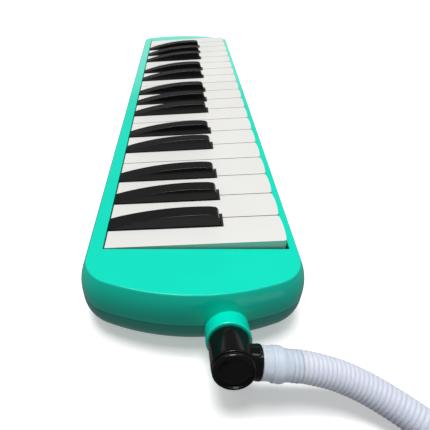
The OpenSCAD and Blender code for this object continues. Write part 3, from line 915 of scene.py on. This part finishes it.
def make_hose(materials):
    sides = 40
    spigot_out = (spigot_place().to_3x3() @ Vector((0, 0, 1))).normalized()
    line, step = even_steps(curve_through(ROUTE, spigot_out, Vector((0, 1, 0)), 12), HOSE_PITCH / 8)
    bm = bmesh.new()
    rings = []
    across = Vector((0, 0, 1)).cross(spigot_out).normalized()
    for k, point in enumerate(line):
        ahead = (line[min(k + 1, len(line) - 1)] - line[max(k - 1, 0)]).normalized()
        across = (across - ahead * across.dot(ahead)).normalized()
        up = ahead.cross(across)
        ring = [point + across * x + up * y for x, y in circle(hose_radius(k * step), sides)]
        rings.append(add_ring(bm, ring))
    bridge(bm, rings)
    close_ends(bm, rings)
    hose = add_piece(bm, "corrugated_hose", "elbow", materials["hose_pale"], sharp=80)
    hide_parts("hose")
    return hose


def make_mouthpiece_cuff(materials):
    bm = bmesh.new()
    lathe(bm, rounded_path([
        (CUFF_BORE_R, -0.3, 0), (6.3, -0.3, 0.2), (6.9, 0.3, 0.4), (6.9, 2.4, 0.3), (6.6, 2.8, 0.2),
        (6.6, 9.5, 0.2), (6.9, 9.9, 0.3), (6.9, 13.6, 0.4), (6.5, 14, 0.1), (CUFF_BORE_R, 14, 0)], 5),
        hose_end_place(), 80)
    cuff = add_piece(bm, "mouthpiece_cuff_moulded", "elbow", materials["hose_pale"])
    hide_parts("mouthpiece_cuff")
    return cuff


def flat_round(half_w, half_h, count, sharpness):
    """A round that squares up as sharpness grows: the mouthpiece's cross-section."""
    points = []
    for k in range(count):
        a = 2 * math.pi * k / count
        c, s = math.cos(a), math.sin(a)
        points.append((half_w * math.copysign(abs(c) ** (2 / sharpness), c),
                       half_h * math.copysign(abs(s) ** (2 / sharpness), s)))
    return points


def make_mouthpiece(materials):
    """A round plug that widens into a flat lip with a slot across its end.

    The stations are (place along it, half width, half height, how far down it is set).
    """
    bm = bmesh.new()
    count = 56
    tip = MOUTHPIECE_LEN
    stations = [(14.05, 6.1, 6.1, 0), (14.2, 6.5, 6.5, 0), (16, 6.65, 6.65, 0), (16.4, 6.1, 6.1, 0),
                (17.6, 6.1, 6.1, 0), (18, 6.6, 6.6, 0), (24, 6.9, 6.4, 0.15)]
    for t in spaced(0, 1, 10):
        ease = t * t * (3 - 2 * t)
        stations.append((27 + 25 * t, 6.9 + 3.6 * ease, 6.4 - 2.9 * ease, 0.2 + 2.4 * ease))
    stations += [(tip - 6, 10.5, 3.3, 2.6), (tip - 4.2, 10.1, 2.9, 2.6), (tip - 3.4, 10.1, 2.9, 2.6),
                 (tip - 2.6, 10.55, 3.45, 2.6), (tip - 0.7, 10.55, 3.45, 2.6), (tip - 0.15, 10.2, 3.1, 2.6),
                 (tip, 9.7, 2.6, 2.6), (tip, 7.6, 1.6, 2.6), (tip - 0.3, 7.2, 1.3, 2.6),
                 (tip - 14, 6.8, 1.2, 2.6)]
    rings = []
    for along, half_w, half_h, drop in stations:
        flat = flat_round(half_w, half_h, count, 2 + 0.7 * min(1, drop / 2.6))
        rings.append(add_ring(bm, [hose_end_place() @ Vector((x, y + drop, along)) for x, y in flat]))
    bridge(bm, rings)
    close_ends(bm, rings)
    mouthpiece = add_piece(bm, "mouthpiece_moulded", "elbow", materials["elbow_black"])
    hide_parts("mouthpiece")
    return mouthpiece


def make_blowing_hose(materials):
    """The hose with what is on it, all riding on the elbow. Its pale pieces are returned."""
    hose = make_hose(materials)
    cuff = make_hose_cuff(materials)
    far_cuff = make_mouthpiece_cuff(materials)
    pieces = [cuff, far_cuff, make_mouthpiece(materials)]
    return [hose, cuff, far_cuff]


def make_drain_button(materials):
    """The button with its stem, which goes on to the seal inside."""
    bm = bmesh.new()
    place, radius = drain_place()
    y0, y1 = cad_range("drain_button", 1)
    lathe(bm, rounded_path([
        (0.01, y0, 0), (1, y0, 0), (1, y1 - 9.5, 0), (radius, y1 - 9.5, 0.3), (radius, y1 - 1, 0.6),
        (radius - 0.4, y1, 0.5), (1.4, y1 - 0.25, 0.4), (0.01, y1 - 0.4, 0)], 4), place, 48, closed=False)
    button = add_piece(bm, "drain_button_moulded", "drain_valve", materials["case_top"])
    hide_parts("drain_button")


# ---------------------------------------------------------------- scene

def main():
    bpy.context.scene.view_settings.view_transform = "Standard"
    make_camera()
    materials = make_materials()
    dress_cad_nodes(materials)
    hose_pieces = make_blowing_hose(materials)
    make_upper_shell(materials)
    make_lower_shell(materials)
    make_collar(materials)
    black_caps = make_keys(materials)
    make_elbow(materials)
    make_end_cap(materials)
    make_flange(materials)
    make_drain_button(materials)
    make_lights(hose_pieces, black_caps)
    make_floor()


main()
